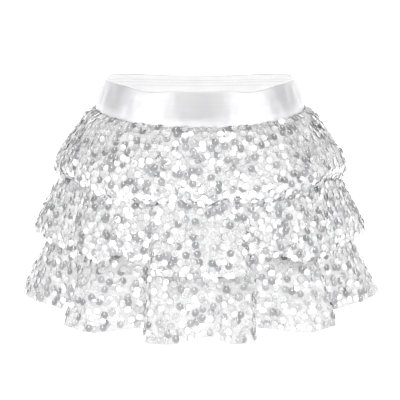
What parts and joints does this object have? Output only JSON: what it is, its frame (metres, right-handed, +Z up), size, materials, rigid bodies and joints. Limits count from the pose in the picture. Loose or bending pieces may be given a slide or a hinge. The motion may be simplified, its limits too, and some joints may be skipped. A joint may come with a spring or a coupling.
{
  "type": "latin dance skirt",
  "caption": "Short sequinned dance skirt in its worn shape, with a foil-knit waistband and tiers of waved ruffles over a plain underskirt.",
  "frame": {"origin": "centre of the waistband, half way up, where the wearer's waist holds the skirt", "axes": "+Z up along the body, -Y the front of the skirt, +X from side seam to side seam, towards the right of someone looking at the front"},
  "size_m": [0.3948, 0.3102, 0.2462],
  "materials": {
    "foil_knit": "silver foil print on stretch knit, with a soft metallic sheen",
    "sequin_cloth": "pale silver mesh knit covered with loose round sequins",
    "plain_knit": "matte white stretch knit"
  },
  "bodies": {
    "root": {"waistband_front": "foil_knit", "waistband_back": "foil_knit", "underskirt_front": "plain_knit", "underskirt_back": "plain_knit", "upper_ruffle_front": "sequin_cloth", "upper_ruffle_back": "sequin_cloth", "middle_ruffle_front": "sequin_cloth", "middle_ruffle_back": "sequin_cloth", "lower_ruffle_front": "sequin_cloth", "lower_ruffle_back": "sequin_cloth"}
  },
  "joints": []
}
